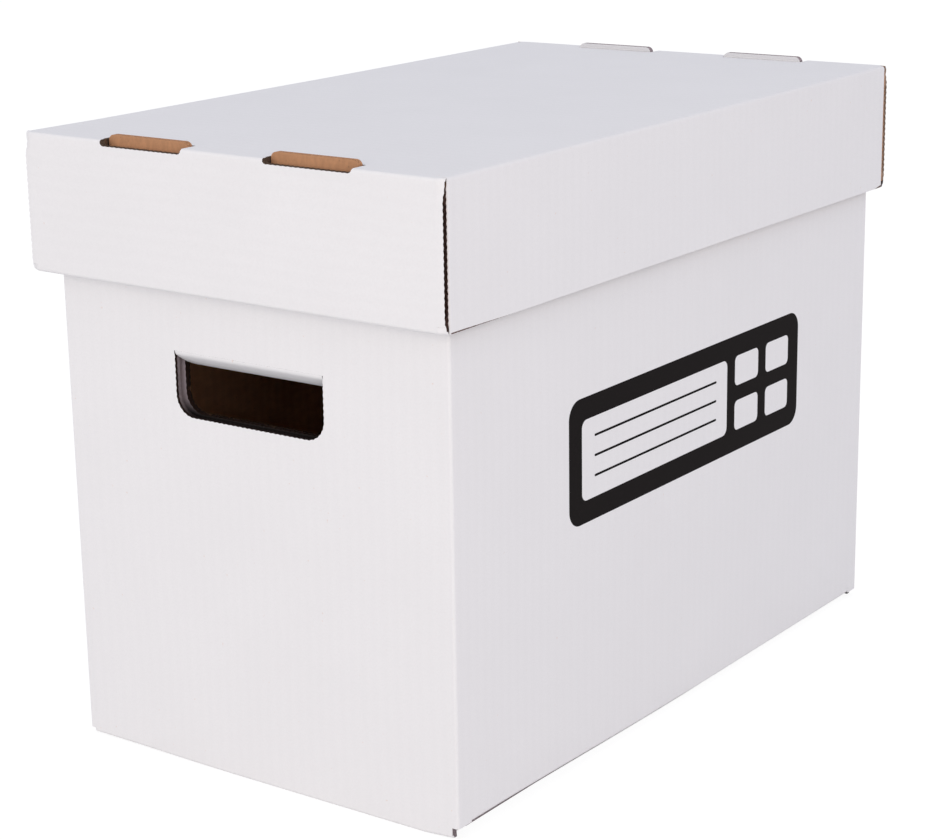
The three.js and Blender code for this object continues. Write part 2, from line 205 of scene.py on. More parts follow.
class StageSettings(PropertyGroup):
    """Camera, floor and lamps."""

    lens: FloatProperty(name="Lens", description="Focal length in millimetres",
                        default=92.01, min=1)
    key: FloatProperty(name="Front lamp", description="Power of the soft lamp in front",
                       default=28.2, unit="POWER")
    side: FloatProperty(name="Right lamp", description="Power of the soft lamp on the right",
                        default=14.2, unit="POWER")
    fill: FloatProperty(name="Room light", description="Strength of the even light all round",
                        default=0.777, min=0)


# Shader expressions


class Channel:
    """A node socket that adds Math nodes when it is used in an expression."""

    def __init__(self, nodes, socket):
        self.nodes = nodes
        self.socket = socket

    def _math(self, operation, first, second=0.0):
        return self.nodes.channel("ShaderNodeMath", 0, {"operation": operation},
                                  {0: first, 1: second})

    def __add__(self, other):
        return self._math("ADD", self, other)

    def __radd__(self, other):
        return self._math("ADD", other, self)

    def __sub__(self, other):
        return self._math("SUBTRACT", self, other)

    def __rsub__(self, other):
        return self._math("SUBTRACT", other, self)

    def __mul__(self, other):
        return self._math("MULTIPLY", self, other)

    def __rmul__(self, other):
        return self._math("MULTIPLY", other, self)

    def __gt__(self, other):
        return self._math("GREATER_THAN", self, other)

    def __lt__(self, other):
        return self._math("LESS_THAN", self, other)

    def sine(self):
        return self._math("SINE", self)

    def size(self):
        return self._math("ABSOLUTE", self)

    def largest(self, other):
        return self._math("MAXIMUM", self, other)


class Nodes:
    """A node tree and the nodes that the looks are made of."""

    def __init__(self, tree):
        self.tree = tree

    def node(self, kind, settings=None, sockets=None):
        """Adds a node, sets it and feeds it."""
        made = self.tree.nodes.new(kind)
        for key, value in (settings or {}).items():
            setattr(made, key, value)
        self.feed(made, sockets or {})
        return made

    def feed(self, node, sockets):
        """Gives a node's sockets values or links."""
        for key, value in sockets.items():
            if isinstance(value, Channel):
                self.tree.links.new(value.socket, node.inputs[key])
            else:
                node.inputs[key].default_value = value

    def channel(self, kind, output, settings=None, sockets=None):
        """Adds a node for one of its outputs."""
        return Channel(self, self.node(kind, settings, sockets).outputs[output])

    def split(self, vector):
        made = self.node("ShaderNodeSeparateXYZ", sockets={0: vector})
        return [Channel(self, made.outputs[axis]) for axis in range(3)]

    def place(self):
        """Where a point is on its object, which is where it is in the box at rest."""
        return self.channel("ShaderNodeTexCoord", "Object")

    def noise(self, scale, detail=2.0, stretch=(1, 1, 1)):
        """Noise with lumps of 1 / scale metres, from 0 to 1."""
        mapped = self.channel("ShaderNodeMapping", 0, {},
                              {"Vector": self.place(), "Scale": stretch})
        return self.channel("ShaderNodeTexNoise", 0, {},
                            {"Vector": mapped, "Scale": scale, "Detail": detail})

    def mix(self, mask, under, over):
        """The colour under, with the colour over where the mask is 1."""
        return self.channel("ShaderNodeMix", 2, {"data_type": "RGBA", "blend_type": "MIX"},
                            {0: mask, 6: under, 7: over})

    def ramp(self, value, low, high):
        """0 below low, 1 above high, smooth between them."""
        return self.channel("ShaderNodeMapRange", 0, {"interpolation_type": "SMOOTHSTEP"},
                            {"Value": value, "From Min": low, "From Max": high})

    def stain(self, base, *stains):
        """Lays stains over a colour.

        A stain is a pattern, where it begins and where it is whole, its share and its colour.
        """
        for pattern, low, high, share, colour in stains:
            base = self.mix(self.ramp(pattern, low, high) * share, base, colour)
        return base

    def bump(self, height, distance, finer=None):
        """A bump of a height, over a finer one if there is one."""
        sockets = {"Height": height, "Distance": distance}
        if finer is not None:
            sockets["Normal"] = finer
        return self.channel("ShaderNodeBump", 0, {}, sockets)

    def seen_directly(self):
        """1 for rays from the camera, a gloss or a glass, 0 for light that falls on things."""
        path = self.node("ShaderNodeLightPath")
        camera, gloss, glass = (Channel(self, path.outputs[f"Is {kind} Ray"])
                                for kind in ("Camera", "Glossy", "Transmission"))
        return camera.largest(gloss).largest(glass)

    def surface(self, output, share, under, over):
        """Gives an output the shader node under, with the shader node over by a share."""
        layers = (Channel(self, shader.outputs[0]) for shader in (under, over))
        mixed = self.channel("ShaderNodeMixShader", 0, {}, dict(enumerate((share, *layers))))
        self.feed(self.tree.nodes[output], {"Surface": mixed})


class Finish(Nodes):
    """One material and the nodes that make its look."""

    def __init__(self, name):
        self.material = bpy.data.materials.new(name)
        self.material.use_nodes = True
        super().__init__(self.material.node_tree)
        self.shader = self.tree.nodes["Principled BSDF"]

    def wear(self, colour, roughness, normal, specular):
        """Gives the shader its colour, roughness, normal and share of gloss."""
        self.feed(self.shader, {"Base Color": colour, "Roughness": roughness, "Normal": normal,
                                "Specular IOR Level": specular})
        return self.material


def shade(colour, share):
    """A colour made lighter or darker by a share."""
    return tuple(min(1.0, part * share) for part in colour)


def tint(colour, share):
    """The same, with its alpha, as a socket takes it."""
    return (*shade(colour, share), 1.0)


# For each family of sheets, which way the fluting shows on faces that look along X, Y and Z: the
# axis that crosses its waves
WAVES = {
    "body": ("y", "x", "x"),
    "outer_flap": ("x", "x", "x"),
    "inner_flap": ("y", "y", "y"),
    "lid": ("y", "z", "y"),
}


def washboard(finish, waves, wave):
    """The liner's faint ripple over the flutes, from -1 to 1."""
    place = finish.split(finish.place())
    faces = finish.split(finish.channel("ShaderNodeNewGeometry", "Normal"))
    drift = finish.noise(9, 1) * 5
    total = 0
    for face, axis in zip(faces, waves):
        along = place["xyz".index(axis)]
        total = (along * (2 * math.pi / wave) + drift).sine() * face.size() + total
    return total


def lid_painted_shade(finish):
    """Where painted shade lies on the lid's white paper, from 0 to 1.

    First a thin painted shadow along the foot of its right side, near the front corner and at the
    rear one, then the tabs of its rear end, painted darker as if shaded.
    """
    x, y, z = finish.split(finish.place())
    front_start, front_full, front_depth = -150 * MM, 5 * MM - lid_y, 0.6 * MM
    rear_start, rear_full, rear_depth = 193 * MM, lid_y - 3 * MM, 1.3 * MM
    tab_foot, tabs_back = 0.7 * MM, 16 * MM
    line = (finish.ramp(y, front_start, front_full) * front_depth + lid_bottom
            + finish.ramp(y, rear_start, rear_full) * rear_depth)
    foot = (z < line) * (x > lid_x + lid_middle - FOLD_SPARE)
    tabs = (z > lid_top + tab_foot) * (y > lid_y - tabs_back)
    return foot, tabs


def white_liner(name, waves, sizes, colours):
    """Clay-coated white paper over the flutes: soft mottle, fine fibres and a faint ripple, with
    painted shade on the lid.
    """
    finish = Finish(name)
    cloud = finish.noise(22, 3)
    fibre = finish.noise(900, 4)
    ripple = washboard(finish, waves, sizes.wave)
    bands = finish.stain(
        finish.mix(cloud, tint(colours.white, 0.975), tint(colours.white, 1.02)),
        (fibre, 0.35, 0.75, 0.35, tint(colours.white, 0.94)),
        (finish.noise(420, 2), 0.74, 0.80, 0.25, tint(colours.kraft, 1.3)),
        (ripple, -1.0, 1.0, 0.10, tint(colours.white, 0.93)))
    foot, tabs = lid_painted_shade(finish)
    # Painted shadow: a thin dark line at the foot of the lid's right side, standing for the shadow
    # on the body just below it.
    foot_shadow_line = foot * finish.ramp(fibre, 0.2, 0.5)
    shadow_lined = finish.mix(foot_shadow_line, bands, tint(colours.raw, 2.6))
    # Painted shade: the white of the rear tabs darkened to the tone of the lid's top.
    wear_and_shade = finish.mix(tabs, shadow_lined, tint(colours.white, 0.83))
    tooth = finish.bump(fibre, 0.03 * MM)
    normal = finish.bump(ripple * 0.5 + finish.noise(60, 2) * 1.2, 0.035 * MM, tooth)
    return finish.wear(wear_and_shade, 0.60 + fibre * 0.14, normal, 0.35)


def hole_gap_shade(finish, sizes, colours, share):
    """Painted shade in the gap between the boards of an end wall round its hand hole: grey paper
    as it shows in shadow, and black at the hole's foot, where little light reaches.

    Returns where it is, from 0 to 1, and its colour, a share as light as the painted grey.
    """
    x, y, z = finish.split(finish.place())
    foot = hinge_z - sizes.hand_height
    beside, below, outer_skin = 12 * MM, 20 * MM, 1.5 * MM
    inner_face = body_y - end_stack + board - FOLD_SPARE
    between = (y.size() > inner_face) * (y.size() < body_y - outer_skin)
    close = (x.size() < flap_x + beside) * (z > foot - below) * (z < hinge_z)
    # Painted shade: black at the hole's foot, fading up into the shaded grey.
    dark_to, grey_from = foot - 1 * MM, foot + 9 * MM
    colour = finish.mix(finish.ramp(z, dark_to, grey_from), tint(colours.raw, 0.15),
                        tint(colours.shade_grey, share))
    return between * close, colour


def kraft_liner(name, waves, sizes, colours):
    """Brown kraft paper: long fibres, darker flecks and a stronger ripple."""
    finish = Finish(name)
    cloud = finish.noise(30, 3)
    fibre = finish.noise(500, 5, (1, 0.22, 0.45))
    ripple = washboard(finish, waves, sizes.wave)
    bands = finish.stain(
        finish.mix(cloud, tint(colours.kraft, 0.90), tint(colours.kraft, 1.08)),
        (fibre, 0.35, 0.70, 0.5, tint(colours.kraft, 1.28)),
        (finish.noise(650, 3), 0.66, 0.74, 0.6, tint(colours.kraft, 0.55)),
        (ripple, -0.6, 1.0, 0.16, tint(colours.kraft, 0.78)))
    # Painted shade round the hand holes, laid over the kraft paper in the gap between the boards.
    gap, painted_gap = hole_gap_shade(finish, sizes, colours, 1.0)
    shown = finish.mix(gap, bands, painted_gap)
    normal = finish.bump(ripple, 0.05 * MM, finish.bump(fibre, 0.05 * MM))
    return finish.wear(shown, 0.80 + fibre * 0.12, normal, 0.25)


def cut_edge(name, sizes, colours, main, regions):
    """The raw edge of the board: torn fibres and crushed paper, with painted light and shade in its
    colours.

    A region is a test on the place, x, y and z, and the colour that the edge has there.
    """
    finish = Finish(name)
    torn = finish.noise(1100, 4)
    place = finish.split(finish.place())
    low, high = tint(main, 0.7), tint(main, 1.35)
    for test, colour in regions:
        mask = test(*place)
        low = finish.mix(mask, low, tint(colour, 0.7))
        high = finish.mix(mask, high, tint(colour, 1.35))
    base = finish.mix(finish.ramp(torn, 0.3, 0.7), low, high)
    pale = finish.stain(base, (finish.noise(260, 3), 0.60, 0.74, 0.22, tint(colours.kraft, 0.6)))
    # The same painted shade on the cut edges in the gap round a hand hole, half as light.
    gap, painted_gap = hole_gap_shade(finish, sizes, colours, 0.5)
    shown = finish.mix(gap, pale, painted_gap)
    return finish.wear(shown, 0.88 + torn * 0.1, finish.bump(torn, 0.12 * MM), 0.05)


def black_ink(name, colours):
    """Black printing ink that has soaked into paper, a little thinner here and there."""
    finish = Finish(name)
    soak = finish.noise(700, 4)
    wear_and_shade = finish.stain(tint(colours.ink, 1.0), (soak, 0.4, 0.7, 0.5, tint(colours.ink, 1.7)),
                        (finish.noise(1600, 2), 0.68, 0.76, 0.3, tint(colours.ink, 5.0)))
    return finish.wear(wear_and_shade, 0.75 + soak * 0.15, finish.bump(soak, 0.02 * MM), 0.1)


def once(name, make, *values):
    """The material of a name, made when it is first asked for."""
    return bpy.data.materials.get(name) or make(name, *values)


def liner(kind, family, scene):
    """The white or the kraft paper of a family of sheets."""
    make = {"white": white_liner, "kraft": kraft_liner}[kind]
    return once(f"{kind}_{family}", make, WAVES[family], scene.box_sizes, scene.box_colours)


def papers(family, edge, main, regions, scene):
    """The papers of one sheet of board, in the order of WHITE, KRAFT and RAW."""
    return [liner("white", family, scene), liner("kraft", family, scene),
            once(edge, cut_edge, scene.box_sizes, scene.box_colours, main, regions)]


def body_papers(family, scene):
    """The papers of a sheet of the body, whose cut edges are darker still as painted shade, and
    grey at the near foot.
    """
    colours = scene.box_colours
    near_foot = 14 * MM
    regions = [(lambda x, y, z: (z < near_foot) * (y < 0) * (x > 0), shade(colours.shade_grey, 0.5))]
    # Painted shade: the body's cut edges are darkened to the near black they show where little
    # light reaches, as round the hand holes.
    return papers(family, f"cut_{family}", shade(colours.raw, 0.45), regions, scene)


def tray_papers(scene):
    """The papers of the lid's tray. Its front cut edges keep the dark cut-edge colour as painted
    shade, its rear ones take the lighter lit brown as painted light, and its slots a darker copy of
    that brown.
    """
    colours = scene.box_colours
    slot_low, slots_x = lid_top - 3 * MM, 90 * MM
    # Painted light and shade: rear cut edges in the lit brown, front ones left in the dark shaded
    # colour.
    regions = [(lambda x, y, z: y > 0, colours.torn),
               (lambda x, y, z: (z > slot_low) * (x.size() < slots_x), shade(colours.torn, 0.3))]
    return papers("lid", "cut_tray", colours.raw, regions, scene)


def tab_papers(scene):
    """The papers of the lid's linings, whose tabs' cut edges are kraft brown at the front and grey
    at the rear.
    """
    colours = scene.box_colours
    tab_low = lid_top - 6 * MM
    regions = [(lambda x, y, z: (z > tab_low) * (y < 0), shade(colours.kraft, 0.85)),
               (lambda x, y, z: (z > tab_low) * (y > 0), shade(colours.shade_grey, 0.75))]
    return papers("lid", "cut_tabs", colours.raw, regions, scene)


# Sheets of board. A sheet is first its white face alone; the board's thickness comes behind it.


def is_vert(item):
    return isinstance(item, bmesh.types.BMVert)


def middle(edge):
    return (edge.verts[0].co + edge.verts[1].co) / 2


def near(value, wanted, room=0.02 * MM):
    return abs(value - wanted) < room


def smooth(start, stop, value):
    """0 up to start, 1 from stop on, smooth between them."""
    share = min(1.0, max(0.0, (value - start) / (stop - start)))
    return share * share * (3 - 2 * share)


def outline(bm, points):
    """A line of edges through points."""
    verts = [bm.verts.new(point) for point in points]
    return [bm.edges.new(pair) for pair in zip(verts, verts[1:])]


def open_edges(bm, test):
    """The sheet's free edges whose middle passes a test."""
    return [edge for edge in bm.edges if edge.is_boundary and test(middle(edge))]


def pull(bm, edges, vector):
    """Carries the sheet on from some edges by a vector, and returns its new last edges."""
    made = bmesh.ops.extrude_edge_only(bm, edges=edges)["geom"]
    fresh = {item for item in made if is_vert(item)}
    bmesh.ops.translate(bm, verts=list(fresh), vec=vector)
    return [item for item in made
            if isinstance(item, bmesh.types.BMEdge) and fresh.issuperset(item.verts)]


def fold(bm, edges, centre, axis, angle, steps):
    """Carries the sheet on round a fold, and returns its new last edges."""
    made = bmesh.ops.spin(bm, geom=edges, cent=centre, axis=axis, dvec=(0, 0, 0), angle=angle,
                          steps=steps, use_merge=False, use_normal_flip=False,
                          use_duplicate=False)
    return [item for item in made["geom_last"] if isinstance(item, bmesh.types.BMEdge)]


def round_creases(piece, radius, segments=6):
    """Rounds the outer side of a piece's creases. The inner side stays sharp."""
    bm = bmesh.new()
    bm.from_mesh(piece.data)
    creases = [edge for edge in bm.edges if len(edge.link_faces) == 2
               and all(face.material_index == WHITE for face in edge.link_faces)
               and edge.calc_face_angle() > QUARTER / 2]
    bmesh.ops.bevel(bm, geom=creases, offset=radius, offset_type="OFFSET", segments=segments,
                    profile=0.5, affect="EDGES", material=-1, clamp_overlap=False)
    bm.to_mesh(piece.data)
    bm.free()


def bevel_corners(bm, verts, radius, segments):
    bmesh.ops.bevel(bm, geom=verts, offset=radius, offset_type="OFFSET", segments=segments,
                    profile=0.5, affect="VERTICES", material=-1, clamp_overlap=False)


def face_white_side(bm, point_test, outward):
    """Turns the sheet's white side outward, going by a face whose middle passes a test."""
    bmesh.ops.remove_doubles(bm, verts=bm.verts, dist=0.002 * MM)
    bmesh.ops.recalc_face_normals(bm, faces=bm.faces)
    sample = next(face for face in bm.faces if point_test(face.calc_center_median()))
    if sample.normal.dot(Vector(outward)) < 0:
        bmesh.ops.reverse_faces(bm, faces=bm.faces)


def make_object(name, bm, materials):
    """Puts a bmesh into a new object at the origin."""
    mesh = bpy.data.meshes.new(name)
    bm.to_mesh(mesh)
    bm.free()
    for material in materials:
        mesh.materials.append(material)
    made = bpy.data.objects.new(name, mesh)
    bpy.context.scene.collection.objects.link(made)
    return made


def thicken(piece):
    """Gives a white face its board behind it, kraft inside and raw round the edges."""
    solid = piece.modifiers.new("board", "SOLIDIFY")
    solid.thickness = board
    solid.offset = -1
    solid.use_even_offset = True
    solid.use_quality_normals = True
    solid.material_offset = KRAFT
    solid.material_offset_rim = RAW


def settle(piece, *cutters):
    """Applies a piece's modifiers and removes the shapes that cut it."""
    graph = bpy.context.evaluated_depsgraph_get()
    mesh = bpy.data.meshes.new_from_object(piece.evaluated_get(graph))
    rough = piece.data
    piece.modifiers.clear()
    piece.data = mesh
    mesh.name = piece.name
    bpy.data.meshes.remove(rough)
    for cutter in cutters:
        shape = cutter.data
        bpy.data.objects.remove(cutter)
        bpy.data.meshes.remove(shape)


def cut(piece, bm):
    """Cuts a piece with a bmesh. The new faces are raw edge."""
    bmesh.ops.recalc_face_normals(bm, faces=bm.faces)
    for face in bm.faces:
        face.material_index = RAW
    cutter = make_object(f"{piece.name}_cutter", bm, piece.data.materials)
    boolean = piece.modifiers.new("cut", "BOOLEAN")
    boolean.solver = "MANIFOLD"
    boolean.operation = "DIFFERENCE"
    boolean.object = cutter
    settle(piece, cutter)


def soften(piece, angle=math.radians(28)):
    """Smooth shading that leaves the flats flat."""
    piece.data.shade_smooth()
    piece.data.set_sharp_from_angle(angle=angle)
    weighted = piece.modifiers.new("flat faces lead", "WEIGHTED_NORMAL")
    weighted.keep_sharp = True
    settle(piece)


def board_piece(name, bm, materials, body, nodes, sizes, cutters=(), crush=None):
    """A sheet of board from its white face, creased, cut, softened and set on its body."""
    piece = make_object(name, bm, materials)
    thicken(piece)
    settle(piece)
    if crush:
        crush(piece, sizes)
    round_creases(piece, sizes.fold_outside)
    for cutter in cutters:
        cut(piece, cutter)
    soften(piece)
    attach(piece, body)
    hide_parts(*nodes)


# Cutting shapes


def rectangle(axis, at, across, on):
    """Four corners in the plane at a place on an axis, one after another round the rectangle."""
    index = "xyz".index(axis)
    corners = [(across[0], on[0]), (across[1], on[0]), (across[1], on[1]), (across[0], on[1])]
    return [(*corner[:index], at, *corner[index:]) for corner in corners]


def plate(bm, corners, rounded=(), radius=0.0, segments=8):
    """A flat face with some of its corners rounded."""
    verts = [bm.verts.new(corner) for corner in corners]
    before = set(bm.faces)
    bm.faces.new(verts)
    if rounded:
        bevel_corners(bm, [verts[index] for index in rounded], radius, segments)
    return next(face for face in bm.faces if face not in before)


def toothed(bm, face, pitch, depth, keep):
    """Gives a face's outline the small teeth of a cutting die, but for the points to keep."""
    long_edges = [edge for edge in face.edges
                  if edge.calc_length() > pitch and not all(keep(vert.co) for vert in edge.verts)]
    for edge in long_edges:
        cuts = 2 * max(1, round(edge.calc_length() / pitch)) - 1
        bmesh.ops.subdivide_edges(bm, edges=[edge], cuts=cuts)
    bm.normal_update()
    loops = list(face.loops)
    moves = []
    for index, loop in enumerate(loops):
        if index % 2 and not keep(loop.vert.co):
            tangent = loop.link_loop_next.vert.co - loop.link_loop_prev.vert.co
            moves.append((loop.vert, face.normal.cross(tangent).normalized() * depth))
    for vert, move in moves:
        vert.co += move


def thrust(bm, face, vector):
    """Extrudes a flat face into a closed prism."""
    made = bmesh.ops.extrude_face_region(bm, geom=[face], use_keep_orig=True)["geom"]
    bmesh.ops.translate(bm, verts=[item for item in made if is_vert(item)], vec=vector)


def slot_spans(sizes, centre, width, front_shift=0.0):
    """The end that each slot for a locking tab is at, and the slot's span along X."""
    half = width / 2 + sizes.slot_slack
    for _, way in ENDS:
        for _, side in SIDES:
            x = side * centre + (front_shift if way < 0 else 0)
            yield way, (x - half, x + half)


def level_slots(sizes, spans, inside, outside, low, high, rounded):
    """Slots through a level sheet, that reach from one distance from the middle to another."""
    bm = bmesh.new()
    for way, xs in spans:
        corners = rectangle("z", low, xs, (way * inside, way * outside))
        thrust(bm, plate(bm, corners, rounded, sizes.slot_round, 4), (0, 0, high - low))
    return bm


def flute_mouths(bm, sizes, start, along, into, deep, reach, thick=board):
    """The open flutes along a cut edge of the board.

    start is the edge's first point on the outer face, along the edge's direction, into the
    direction through the board, deep the direction in which the flutes run, and reach the edge's
    length.
    """
    start, along, into, deep = (Vector(part) for part in (start, along, into, deep))
    base_share, crest_share, round_share = 0.385, 0.09, 0.075
    low = sizes.liner
    high = thick - sizes.liner - sizes.fluting
    half_wave = sizes.wave / 2
    count = int((reach - sizes.wave) / half_wave) + 1
    first = (reach - (count - 1) * half_wave) / 2
    for index in range(count):
        centre = first + index * half_wave
        rises = ((-base_share, low), (base_share, low), (crest_share, high),
                 (-crest_share, high))
        corners = [start + along * (centre + share * sizes.wave)
                   + into * (thick - rise if index % 2 else rise) - deep * sizes.liner
                   for share, rise in rises]
        face = plate(bm, corners, (2, 3), round_share * sizes.wave, 3)
        thrust(bm, face, deep * (sizes.mouth_depth + sizes.liner))


def side_flutes(sizes, x, half, z, deep):
    """The flutes that stand open along an edge of both side walls. deep is 1 up and -1 down."""
    bm = bmesh.new()
    for _, side in SIDES:
        flute_mouths(bm, sizes, (side * x, -half, z), (0, 1, 0), (-side, 0, 0), (0, 0, deep),
                     2 * half)
    return bm


# Body


def fold_reach(sizes):
    """From a fold's outer face to where the flat panel round the corner begins."""
    return board + sizes.fold_inside


def body_face(sizes):
    """The white face of the four walls, from the folds at their foot to their top edges."""
    reach = fold_reach(sizes)
    crease = rim_z - reach
    flat_x = body_x - reach
    set_back = body_y - lay_pitch
    flap_end = inner_flap_y + FOLD_SPARE
    left_bends = [x * MM for x in (-80, -50, -20)]
    right_bend = 95 * MM
    side_bends = [y * MM for y in (-160, -130, -100, -70, -40, 20)]
    plan = [(FOLD_SPARE - flat_x, set_back), (-body_x, set_back)]
    plan += [(-body_x, y) for y in (flap_end, inner_flap_y, -inner_flap_y, -flap_end)]
    plan += [(x, -body_y) for x in (-body_x, -flat_x, *left_bends, right_bend, flat_x, body_x)]
    plan += [(body_x, y) for y in (-flap_end, -inner_flap_y, *side_bends, inner_flap_y, flap_end)]
    plan += [(x, body_y) for x in (body_x, flat_x, -flat_x, -body_x)]
    bm = bmesh.new()
    line = outline(bm, [(x, y, lay_pitch) for x, y in plan])
    pull(bm, line, (0, 0, crease - lay_pitch))

    def on_end(point):
        return near(abs(point.y), body_y) and abs(point.x) < flat_x

    def on_overlap(point):
        return near(point.y, body_y) and point.x < -flat_x

    pull(bm, open_edges(bm, lambda p: near(p.z, crease) and not on_end(p) and not on_overlap(p)),
         (0, 0, side_top - crease))
    for _, way in SIDES:
        foot = open_edges(bm, lambda p: near(p.z, lay_pitch) and near(p.x, way * body_x)
                          and abs(p.y) < inner_flap_y)
        pull(bm, foot, (-way * reach, 0, 0))
    for _, way in ENDS:
        foot = open_edges(bm, lambda p: near(p.z, lay_pitch) and on_end(p) and p.y * way > 0)
        pull(bm, pull(bm, foot, (0, 0, -lay_pitch)), (0, -way * reach, 0))
    face_white_side(bm, lambda p: near(p.x, body_x), (1, 0, 0))
    for vert in bm.verts:
        x, y, z = vert.co
        if z < FOLD_SPARE and y < 0:
            share = smooth(left_bends[-1], -flat_x, x) + smooth(right_bend, flat_x, x)
            vert.co.z += sizes.end_foot_lift * share
        elif near(z, lay_pitch) and x > flat_x - FOLD_SPARE:
            vert.co.z += sizes.side_foot_lift * smooth(side_bends[-1], -inner_flap_y, y)
    return bm


def hand_holes(sizes):
    """Cuts both boards of both end walls: a straight crease on top, round corners below."""
    half = flap_x + sizes.hand_gap
    foot = hinge_z - sizes.hand_height
    reach = end_stack + 2 * board
    bm = bmesh.new()
    for _, way in ENDS:
        y = way * (body_y + board)
        corners = rectangle("y", y, (-half, half), (hinge_z, foot))
        face = plate(bm, corners, (2, 3), sizes.hand_corner, 12)
        toothed(bm, face, sizes.tooth, sizes.tooth_depth, lambda p: near(p.z, hinge_z))
        thrust(bm, face, (0, -way * reach, 0))
    return bm


def hand_hole_flutes(sizes):
    """The flutes that the hand holes open in the inner boards, at their feet and at their sides."""
    half = flap_x + sizes.hand_gap
    foot = hinge_z - sizes.hand_height
    groove, groove_round = 1.3 * MM, 0.8 * MM
    flat = half - sizes.hand_corner
    top, low = hinge_z - sizes.tooth, foot + sizes.hand_corner
    bm = bmesh.new()
    for _, way in ENDS:
        face_y = way * (body_y - end_stack)
        flute_mouths(bm, sizes, (-flat, face_y, foot), (1, 0, 0), (0, way, 0), (0, 0, -1), 2 * flat)
        near_y = face_y + way * sizes.liner
        far_y = face_y + way * (board - sizes.liner)
        for _, side in SIDES:
            xs = (side * (half - groove), side * (half + groove))
            corners = rectangle("z", low, xs, (near_y, far_y))
            thrust(bm, plate(bm, corners, (1, 2), groove_round, 4), (0, 0, top - low))
    return bm


def lining_face(sizes, way, up, face_y, start_z, halves, reach_z, tab):
    """The white face of a roll-over and the inner board behind it, with its two locking tabs.

    up is 1 where the board rolls over the top of its wall, and -1 where it rolls under its foot.
    halves are half the width of the roll-over and of the inner board. tab holds the place, width
    and drop of a tab, with the radius and steps of its corners.
    """
    fold_z = start_z + up * fold_reach(sizes)
    edge_depth = board + FOLD_SPARE
    centre, width, drop, corner, steps = tab
    roots = [centre - width / 2, centre + width / 2]
    marks = sorted({*roots, *halves, halves[0] - sizes.crush_width})
    bm = bmesh.new()
    line = outline(bm, [(x, way * face_y, start_z) for x in [-x for x in reversed(marks)] + marks])
    outer = pull(bm, line, (0, 0, fold_z - start_z))
    full = pull(bm, outer, (0, -way * edge_depth, 0))
    narrow = [edge for edge in full if abs(middle(edge).x) < halves[1]]
    turned = pull(bm, narrow, (0, -way * (end_stack - edge_depth), 0))
    last = pull(bm, turned, (0, 0, reach_z - fold_z))
    tabs = [edge for edge in last if roots[0] < abs(middle(edge).x) < roots[1]]
    tips = pull(bm, tabs, (0, 0, -up * drop))
    ends = {vert for edge in tips for vert in edge.verts
            if near(abs(vert.co.x), roots[0]) or near(abs(vert.co.x), roots[1])}
    bevel_corners(bm, list(ends), corner, steps)
    face_white_side(bm, lambda p: near(abs(p.y), face_y - end_stack), (0, -way, 0))
    return bm


def bottom_flap_face(z, xs, ys):
    """The underside of a bottom flap."""
    bm = bmesh.new()
    plate(bm, rectangle("z", z, xs, ys))
    face_white_side(bm, lambda p: True, (0, 0, -1))
    return bm


def hand_flap_face(curl, way):
    """The white face of a pushed-in hand flap: rolled at its crease, curled, then straight."""
    bm = bmesh.new()
    y = way * body_y
    xs = (-flap_x, flap_x)
    line = outline(bm, [(x, y, hinge_z) for x in xs])
    axis = (-way, 0, 0)
    rolled = fold(bm, line, (0, y - way * curl.roll_radius, hinge_z), axis, curl.roll_angle, 8)
    tip = middle(rolled[0])
    slope = QUARTER - curl.roll_angle
    centre = tip + Vector((0, -way * math.sin(slope), math.cos(slope))) * curl.curl_radius
    curled = fold(bm, rolled, centre, axis, curl.curl_angle, 24)
    slope -= curl.curl_angle
    pull(bm, curled, (0, -way * math.cos(slope) * curl.tail, -math.sin(slope) * curl.tail))
    face_white_side(bm, lambda p: True, (0, way, -1))
    return bm


def crease_crush(curl, way):
    """What the crease crushes: the board above it, and a wedge below that lets the flap swing."""
    bm = bmesh.new()
    low = hinge_z - FOLD_SPARE / 4
    high = hinge_z + board
    inside = body_y - 2 * board
    slope = low - 2 * board * math.tan(curl.crush_angle)
    outside = body_y + board
    profile = [(outside, low), (body_y, low), (inside, slope), (inside, high), (outside, high)]
    thrust(bm, plate(bm, [(-body_x, way * y, z) for y, z in profile]), (2 * body_x, 0, 0))
    return bm


class BuildBodyWalls(Operator):
    """Build the four walls of the body, with their folds and hand holes"""

    bl_idname = "storage_box.body_walls"
    bl_label = "Body walls"

    def execute(self, context):
        sizes = context.scene.box_sizes
        nodes = ["body_side_left", "body_side_right", "body_end_front", "body_end_rear"]
        cutters = [hand_holes(sizes), side_flutes(sizes, body_x, inner_flap_y, side_top, -1)]
        board_piece("body_walls", body_face(sizes), body_papers("body", context.scene), "box",
                    nodes, sizes, cutters)
        return {"FINISHED"}


class BuildBodyLinings(Operator):
    """Build the roll-overs and inner boards of the body's end walls"""

    bl_idname = "storage_box.body_linings"
    bl_label = "Body linings"

    def execute(self, context):
        sizes = context.scene.box_sizes
        reach = fold_reach(sizes)
        halves = (body_x - reach, body_lining_x)
        tab = (sizes.body_tab_centre, sizes.body_tab_width, lay_pitch - body_tab_z,
               sizes.body_tab_chamfer, 1)
        for place, way in ENDS:
            face = lining_face(sizes, way, 1, body_y, rim_z - reach, halves, lay_pitch, tab)
            board_piece(f"body_lining_{place}", face, body_papers("body", context.scene), "box",
                        [f"body_rim_{place}", f"body_inner_end_{place}"], sizes,
                        [hand_holes(sizes), hand_hole_flutes(sizes)])
        return {"FINISHED"}


